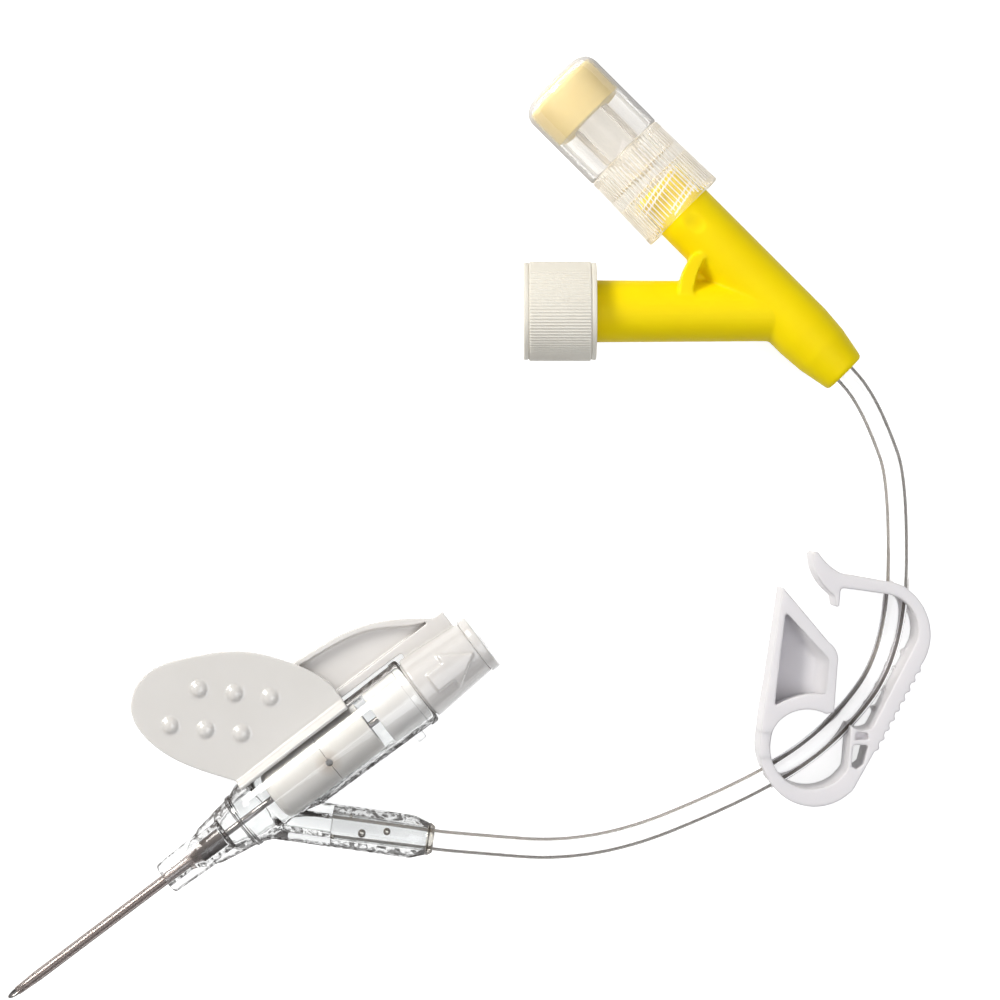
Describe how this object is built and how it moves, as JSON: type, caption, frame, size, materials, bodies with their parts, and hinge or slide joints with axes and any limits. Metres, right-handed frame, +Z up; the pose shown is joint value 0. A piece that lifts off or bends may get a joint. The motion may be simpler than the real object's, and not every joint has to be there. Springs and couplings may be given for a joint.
{
  "type": "iv cannula",
  "caption": "Closed peripheral intravenous cannula with grip wings, side extension tube, pinch clamp, two-port Y connector, injection cap and vent cap, needle in place.",
  "frame": {"origin": "on the catheter's axis, at the front face of the adapter's nose", "axes": "+X along the catheter towards the needle hub, +Y towards the grip wings, +Z up off the table"},
  "size_m": [0.109, 0.0761, 0.0101],
  "materials": {
    "polyurethane": "thin, slightly brown, clear",
    "needle_steel": "bright drawn steel",
    "adapter_clear": "clear moulded",
    "wing_translucent": "milky moulded",
    "housing_white": "white moulded",
    "septum_rubber": "matt",
    "spring_steel": "stamped",
    "hub_clear": "clear moulded",
    "filter_white": "porous",
    "tubing": "clear, flexible",
    "connector_yellow": "moulded, opaque",
    "collar_clear": "clear, fine ribs",
    "housing_clear": "clear moulded",
    "stopper_rubber": "cream, matt",
    "cap_white": "off-white, knurled",
    "membrane": "porous disc",
    "clamp_plastic": "pale, moulded"
  },
  "bodies": {
    "set": {"adapter_body": "adapter_clear", "adapter_wing": "wing_translucent", "catheter_tube": "polyurethane", "catheter_wedge": "spring_steel", "septum_housing": "housing_white", "septum": "septum_rubber", "tip_shield_housing": "housing_white", "shield_clip": "spring_steel", "shield_washer": "spring_steel", "extension_tube": "tubing", "y_connector": "connector_yellow", "clamp_body": "clamp_plastic"},
    "needle_unit": {"needle": "needle_steel", "needle_hub": "hub_clear", "hub_end_cap": "hub_clear", "hub_filter": "filter_white"},
    "clamp_arm": {"clamp_wedge_arm": "clamp_plastic"},
    "injection_cap_core": {"injection_cap_stopper": "stopper_rubber"},
    "injection_cap": {"injection_cap_luer": "collar_clear", "injection_cap_housing": "housing_clear"},
    "vent_cap_core": {"vent_cap_membrane": "membrane"},
    "vent_cap": {"vent_cap_shell": "cap_white"}
  },
  "joints": [
    {"name": "needle_withdraw", "type": "slide", "parent": "set", "child": "needle_unit", "axis": [1, 0, 0], "range_m": [0, 0.041]},
    {"name": "clamp_close", "type": "hinge", "parent": "set", "child": "clamp_arm", "pos_m": [0.05703, -0.02547, 0], "axis": [0, 0, -1], "range_deg": [0, 16], "deforming": ["extension_tube"]},
    {"name": "injection_cap_off", "type": "slide", "parent": "set", "child": "injection_cap_core", "axis": [-0.1392, 0.9903, 0], "range_m": [0, 0.01]},
    {"name": "injection_cap_turn", "type": "hinge", "parent": "injection_cap_core", "child": "injection_cap", "pos_m": [0.08502, 0.00838, 0.00125], "axis": [-0.1392, 0.9903, 0], "range_deg": [0, 721]},
    {"name": "vent_cap_off", "type": "slide", "parent": "set", "child": "vent_cap_core", "axis": [-0.7986, 0.6018, 0], "range_m": [0, 0.01]},
    {"name": "vent_cap_turn", "type": "hinge", "parent": "vent_cap_core", "child": "vent_cap", "pos_m": [0.08502, 0.00838, 0.00125], "axis": [-0.7986, 0.6018, 0], "range_deg": [0, 721]}
  ],
  "couplings": [
    {"joint": "injection_cap_turn", "follows": "injection_cap_off", "rad_per_m": 1256.6},
    {"joint": "vent_cap_turn", "follows": "vent_cap_off", "rad_per_m": 1256.6}
  ]
}
